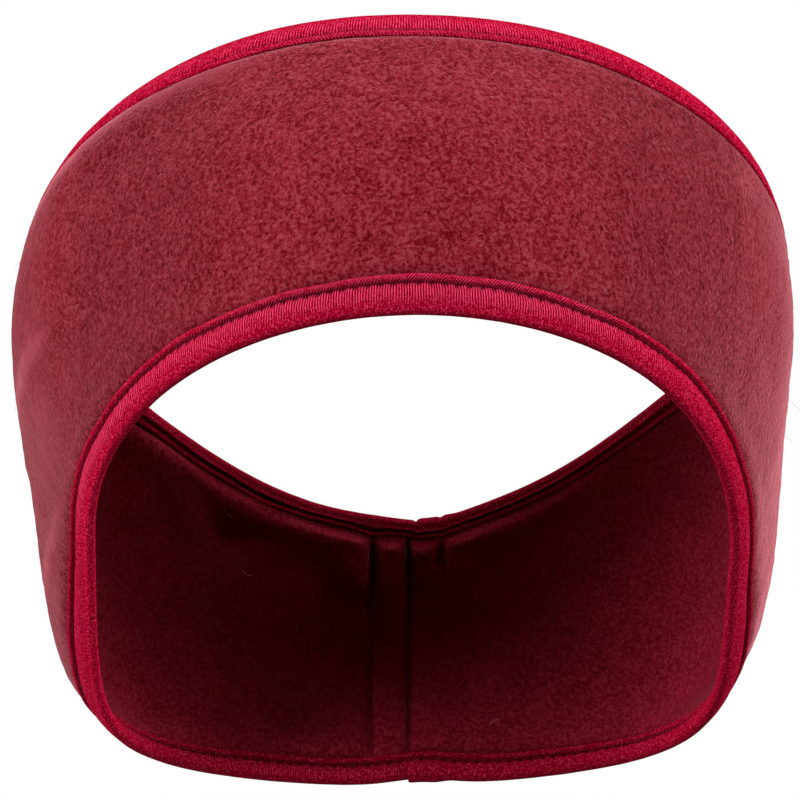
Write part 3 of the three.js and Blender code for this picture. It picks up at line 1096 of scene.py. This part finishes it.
def finishMaterial(made, colour, height, bump, settings):
    distance, strength = bump
    lifted = made.add(
        "ShaderNodeBump", {"Height": height, "Distance": distance, "Strength": strength}
    )
    looks = {**settings, "Base Color": colour, "Normal": lifted.outputs[0]}
    shader = made.add("ShaderNodeBsdfPrincipled", looks)
    made.add("ShaderNodeOutputMaterial", {"Surface": shader.outputs[0]})


def attributeOf(made, name):
    return made.add("ShaderNodeAttribute", attribute_name=name).outputs["Fac"]


def noiseOf(made, place, size, detail, roughness=0.5, distortion=0.0):
    form = {"Scale": 1 / size, "Detail": detail, "Roughness": roughness, "Distortion": distortion}
    return made.add("ShaderNodeTexNoise", {"Vector": place, **form}).outputs[0]


def rampOf(made, value, stops):
    node = made.add("ShaderNodeValToRGB", {"Fac": value})
    ramp = node.color_ramp
    while len(ramp.elements) < len(stops):
        ramp.elements.new(0.5)
    for element, (position, colour) in zip(ramp.elements, stops):
        element.position = position
        element.color = (*colour, 1)
    return node.outputs[0]


def mixOf(made, factor, a, b):
    node = made.add("ShaderNodeMix", {0: factor, 6: a, 7: b}, data_type="RGBA")
    return node.outputs[2]


fleeceFinish = {
    "outside": {
        "pit": (0.118, 0.0002, 0.003),
        "mid": (0.216, 0.0082, 0.0175),
        "tip": (0.305, 0.039, 0.055),
        # the paler tone of the painted sheen
        "paintedSheenPale": (0.42, 0.085, 0.115),
        "pillSize": 1.0 * mm,
        "fibreSize": 0.5 * mm,
        "patchSize": 7 * mm,
        "bump": (0.7 * mm, 0.9),
        "sheen": 0.95,
        # painted shade on the mid-sides
        "paintedSideShade": 0.17,
    },
    "inside": {
        "pit": (0.120, 0.0012, 0.007),
        "mid": (0.190, 0.0042, 0.017),
        "tip": (0.262, 0.0165, 0.033),
        "paintedSheenPale": (0.30, 0.03, 0.05),
        "pillSize": 0.9 * mm,
        "fibreSize": 0.36 * mm,
        "patchSize": 9 * mm,
        "bump": (0.4 * mm, 0.8),
        "sheen": 0.6,
        "paintedSideShade": 0.0,
    },
}

# what both sides share; a range is start, stop, value before, value after, from the middle plane
fleeceLook = {
    "pillShare": 0.67,
    "fibreShare": 0.33,
    "patchShare": 0.07,
    "patchShade": 0.24,
    "stops": (0.37, 0.475, 0.62),
    "pebbled": (72 * mm, 90 * mm, 1.0, 0.7),  # the nap lies flatter towards the ears
    # painted shade: the colour is darkened at the mid-sides, where the light falls off, and the
    # darkening ends near the silhouette
    "paintedShadeBand": (30 * mm, 52 * mm, 0.0),
    "outline": (68 * mm, 78 * mm, 1.0, 0.0),
    # where the painted sheen lies, the nap's contrast is flattened and its paler tone mixed in
    "paintedSheenFlat": 0.7,
    "paintedSheenPaleShare": 0.5,
    "shader": {
        "Roughness": 0.95,
        "Specular IOR Level": 0.05,
        "Sheen Roughness": 0.3,
        "Sheen Tint": (1.0, 0.33, 0.40, 1),
    },
}


def fleeceMaterial(name, plan):
    material, made, place = newMaterial(name)
    look = fleeceLook
    pills = noiseOf(made, place, plan["pillSize"], 2.5, 0.55, 0.5)
    fibres = noiseOf(made, place, plan["fibreSize"], 2.0, 0.6, 0.8)
    patches = noiseOf(made, place, plan["patchSize"], 2.0)
    depth = made.timesPlus(fibres, look["fibreShare"], made.times(pills, look["pillShare"]))
    depth = made.timesPlus(made.minus(patches, 0.5), look["patchShare"], depth)
    aside = made.add("ShaderNodeSeparateXYZ", {0: place}).outputs[0]
    aside = made.math("ABSOLUTE", aside)
    # painted sheen share, which flattens the nap and paints it paler
    paintedSheenShare = attributeOf(made, "paintedSheenShare")
    pebbled = made.times(
        made.smoothStep(aside, *look["pebbled"]),
        made.timesPlus(paintedSheenShare, -look["paintedSheenFlat"], 1.0),
    )
    depth = made.timesPlus(made.minus(depth, 0.5), pebbled, 0.5)
    tones = (plan["pit"], plan["mid"], plan["tip"])
    colour = rampOf(made, depth, list(zip(look["stops"], tones)))
    # painted sheen: the paler tone mixed in
    paintedSheenPale = made.times(paintedSheenShare, look["paintedSheenPaleShare"])
    colour = mixOf(made, paintedSheenPale, colour, (*plan["paintedSheenPale"], 1))
    # painted shade on the mid-sides, fading out towards the silhouette
    paintedShadeBand = made.times(
        made.smoothStep(aside, *look["paintedShadeBand"], plan["paintedSideShade"]),
        made.smoothStep(aside, *look["outline"]),
    )
    uneven = made.timesPlus(patches, look["patchShade"], 1 - look["patchShade"] / 2)
    colour = made.scaled(colour, made.times(uneven, made.minus(1.0, paintedShadeBand)))
    settings = {**look["shader"], "Sheen Weight": plan["sheen"]}
    finishMaterial(made, colour, depth, plan["bump"], settings)
    return material


tapeFinish = {
    # valley, face and crest tones: the pale pink crest tone is partly the knit's lighter crests and
    # partly painted highlight in place of the satin's gloss
    "stops": [
        (0.25, (0.23, 0.0001, 0.007)),
        (0.52, (0.42, 0.0012, 0.026)),
        (1.0, (0.82, 0.060, 0.152)),
    ],
    "base": (-0.25, 0.49),  # heights as a slope and a start over the ribs' strength
    "grain": (-0.6, 1.6),
    "grainSize": 0.46 * mm,
    "worn": (1.1, 0.3),
    "wornSize": 1.6 * mm,
    "wobble": 0.9,
    "wobbleSize": 3 * mm,
    "lipStart": -0.15 * mm,
    "lipSkew": 0.8,
    "lipSlack": 0.16,
    "groove": (-0.03 * mm, 0.38 * mm),
    "grooveShade": 0.7,
    "hole": (0.42 * mm, 0.3 * mm),
    "holeShade": 0.3,
    "fold": (5.0 * mm, 6.6 * mm, 0.0, 1.0),
    # painted shade on the fold at the forehead
    "forehead": (34 * mm, 62 * mm, -0.24, 0.0),
    # painted light on the fold at the left side
    "paintedLeftFoldLight": (-76 * mm, -58 * mm, 0.75, 0.0),
    # painted shade over the nape
    "nape": (45 * mm, 85 * mm, 1.0, 0.78),
    "bump": (0.26 * mm, 1.0),
    "shader": {
        "Roughness": 0.6,
        "Specular IOR Level": 0.0,
        "Sheen Weight": 0.08,
        "Sheen Roughness": 0.35,
        "Sheen Tint": (1.0, 0.04, 0.12, 1),
    },
}


def tapeMaterial(name, plan):
    material, made, place = newMaterial(name)
    # the ribs' strength, which also places the painted highlight on their crests
    along, across, ribs, ribbedAndHighlit = [
        attributeOf(made, layer) for layer in ("along", "across", "ribs", "ribbedAndHighlit")
    ]
    # the ribs: slanted and a little wider on the lip, uneven and worn
    onLip = made.math("LESS_THAN", across, plan["lipStart"])
    skew = made.times(made.times(across, onLip), plan["lipSkew"] / tapePiece["ribPitch"])
    ribs = made.times(ribs, made.timesPlus(onLip, -plan["lipSlack"], 1.0))
    wobble = noiseOf(made, place, plan["wobbleSize"], 2.0)
    phase = made.plus(made.timesPlus(wobble, plan["wobble"], ribs), skew)
    worn = made.timesPlus(noiseOf(made, place, plan["wornSize"], 2.0), *plan["worn"])
    ribHeight = made.times(made.times(made.wave("SINE", phase), ribbedAndHighlit), worn)
    grain = made.minus(noiseOf(made, place, plan["grainSize"], 1.5, 0.6, 0.3), 0.5)
    grain = made.times(grain, made.timesPlus(ribbedAndHighlit, *plan["grain"]))
    base = made.timesPlus(ribbedAndHighlit, *plan["base"])
    height = made.plus(base, made.plus(grain, ribHeight))
    # the crest tone paints the satin's highlight on the ribs and specks
    colour = rampOf(made, height, plan["stops"])
    # the sewn groove and its needle holes
    stitches = made.times(along, 1 / tapePiece["stitchPitch"])
    hole = made.math("POWER", made.wave("COSINE", stitches), 2.0)
    hole = made.times(made.times(hole, made.bell(across, *plan["hole"])), plan["holeShade"])
    groove = made.times(made.bell(across, *plan["groove"]), plan["grooveShade"])
    lit = made.minus(made.minus(1.0, groove), hole)
    # painted shade on the fold at the forehead, where it turns from the lamps, painted light on it at
    # the left side, where it turns to them, and painted shade over the nape
    where = made.add("ShaderNodeSeparateXYZ", {"Vector": place}).outputs
    forehead = made.smoothStep(made.math("ABSOLUTE", where["X"]), *plan["forehead"])
    gain = made.plus(forehead, made.smoothStep(where["X"], *plan["paintedLeftFoldLight"]))
    gain = made.timesPlus(made.smoothStep(across, *plan["fold"]), gain, 1.0)
    lit = made.times(made.times(lit, gain), made.smoothStep(where["Y"], *plan["nape"]))
    finishMaterial(made, made.scaled(colour, lit), height, plan["bump"], plan["shader"])
    return material


# plain noise between two dark tones: the thread's own wine red, darkened as painted shade of the
# grooves it lies in
threadWineShadedFinish = {
    "stops": [(0.35, (0.10, 0.0006, 0.006)), (0.65, (0.22, 0.002, 0.018))],
    "size": 0.2 * mm,
    "bump": (0.05 * mm, 0.5),
    "shader": {"Roughness": 0.6, "Specular IOR Level": 0.08},
}


def fibreFinish(colour, sheen):
    darker = tuple(0.6 * part for part in colour)
    return {
        "stops": [(0.35, darker), (0.65, colour)],
        "size": 5 * mm,
        "bump": (0.01 * mm, 0.2),
        "shader": {"Roughness": 0.8, "Sheen Weight": sheen, "Specular IOR Level": 0.2},
    }


def hairMaterial(name, plan):
    material, made, place = newMaterial(name)
    tone = noiseOf(made, place, plan["size"], 1.0)
    colour = rampOf(made, tone, plan["stops"])
    finishMaterial(made, colour, tone, plan["bump"], plan["shader"])
    return material


# ---- making ----

fleeceOutside = fleeceMaterial("fleeceOutside", fleeceFinish["outside"])
fleeceInside = fleeceMaterial("fleeceInside", fleeceFinish["inside"])
tapeCrimson = tapeMaterial("tapeCrimson", tapeFinish)
threadWineShaded = hairMaterial("threadWineShaded", threadWineShadedFinish)
fibreWine = hairMaterial("fibreWine", fibreFinish((0.24, 0.014, 0.026), 0.0))
fibrePale = hairMaterial("fibrePale", fibreFinish((0.62, 0.38, 0.38), 0.2))
print("materials made")

nap = napTree()
fleeceBand = makeFleece()
fleeceValues = {
    "Swell Height": fleecePiece["swellHeight"],
    "Swell Size": fleecePiece["swellSize"],
    "Pill Height": fleecePiece["pillHeight"],
    "Pill Size": fleecePiece["pillSize"],
    "Seed": fleecePiece["seed"],
    "Outside": fleeceOutside,
    "Inside": fleeceInside,
}
runTree(fleeceBand, nap, fleeceValues)
seamAllowance = makeAllowance()
runTree(seamAllowance, nap, {**fleeceValues, "Swell Height": 0.1 * mm, "Pill Height": 0.1 * mm})
print("fleece made")

tapeShaping = tapeTree()
tapeValues = {
    "Stitch Pitch": tapePiece["stitchPitch"],
    "Pinch Depth": tapePiece["pinchDepth"],
    "Grain Height": tapePiece["grainHeight"],
    "Grain Size": tapePiece["grainSize"],
    "Seed": tapePiece["seed"],
    "Tape": tapeCrimson,
}
lowerBinding, upperBinding = makeBinding("lower"), makeBinding("upper")
runTree(lowerBinding, tapeShaping, tapeValues)
runTree(upperBinding, tapeShaping, tapeValues)
print("bindings made")

threads = threadTree()
lowerStitches = makeStitches("lowerStitches", bindingStitches("lower"), threads, threadWineShaded)
upperStitches = makeStitches("upperStitches", bindingStitches("upper"), threads, threadWineShaded)
napeStitches = makeStitches("napeStitches", seamStitches(), threads, threadWineShaded)
print("stitches made")

fibres = fibreTree()
shortFuzz = makeFibres("shortFuzz", fleeceBand, fuzzPiece, fibres, fibreWine)
strayFibres = makeFibres("strayFibres", fleeceBand, strayPiece, fibres, fibrePale)
print("fibres made")

# ---- the pieces on the frame ----

slots = {
    "fleece": [fleeceBand, seamAllowance, shortFuzz, strayFibres, napeStitches],
    "binding": [lowerBinding, upperBinding, lowerStitches, upperStitches],
}
scaffolding = ("free", "inside", "pinch", "onward", "outward")
for slotName, pieces in slots.items():
    for piece in pieces:
        for layer in scaffolding:
            if layer in piece.data.attributes:
                piece.data.attributes.remove(piece.data.attributes[layer])
        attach(piece, "root")
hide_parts("fleece_band")
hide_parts("seam_allowance")
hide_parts("lower_binding")
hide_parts("upper_binding")

# ---- studio ----

studio = {
    "floorHeight": -2.4,
    "domeRadius": 11.0,
    "floorShare": 0.97,  # of the dome's radius, and of its brightness
    "lampDistance": 1.4,
    "lampSize": 0.6,
    "lamps": {  # azimuth from the camera, elevation, power
        "leftSoftbox": (-55, 8, 11.5),
        "leftHigh": (-84, 50, 6.2),
        "leftLow": (-85, -22, 9.2),
        "rightSoftbox": (55, 22, 7.3),
        "frontSoftbox": (20, 25, 8),
        "rightLow": (85, -10, 9.6),
        "rightHigh": (105, 55, 8.6),
        "backRight": (150, 12, 10.4),
        "backLeft": (-150, -10, 8.4),
        "topSoftbox": (180, 75, 8),
    },
}


def makeBackdrop(name, brightness):
    # the round thing just added glows evenly and takes no part in the light
    stand = bpy.context.object
    stand.name = name
    material, made, _ = newMaterial(name)
    glow = made.add("ShaderNodeEmission", {"Color": (*[brightness] * 3, 1), "Strength": 1.0})
    made.add("ShaderNodeOutputMaterial", {"Surface": glow.outputs[0]})
    stand.data.materials.append(material)
    stand.visible_diffuse = stand.visible_glossy = stand.visible_shadow = False
    stand.visible_transmission = False


def makeStudio(plan):
    radius, share = plan["domeRadius"], plan["floorShare"]
    bpy.ops.mesh.primitive_uv_sphere_add(segments=48, ring_count=24, radius=radius)
    makeBackdrop("backdrop", 1.0)
    middle = (0, 0, plan["floorHeight"])
    bpy.ops.mesh.primitive_circle_add(
        vertices=64, radius=radius * share, fill_type="NGON", location=middle
    )
    makeBackdrop("floor", share)
    for name, (azimuth, elevation, power) in plan["lamps"].items():
        light = bpy.data.lights.new(name, "AREA")
        light.shape = "DISK"
        light.size = plan["lampSize"]
        light.energy = power
        back = sightLine(azimuth, elevation)
        lamp = addObject(name, light)
        lamp.location = back * plan["lampDistance"]
        lamp.rotation_euler = back.to_track_quat("Z", "Y").to_euler()
        lamp.visible_camera = False
    world = bpy.data.worlds.new("studioAir")
    world.use_nodes = True
    world.node_tree.nodes["Background"].inputs["Strength"].default_value = 0.0
    bpy.context.scene.world = world


makeStudio(studio)
bpy.context.scene.view_settings.view_transform = "Standard"
print("studio made")
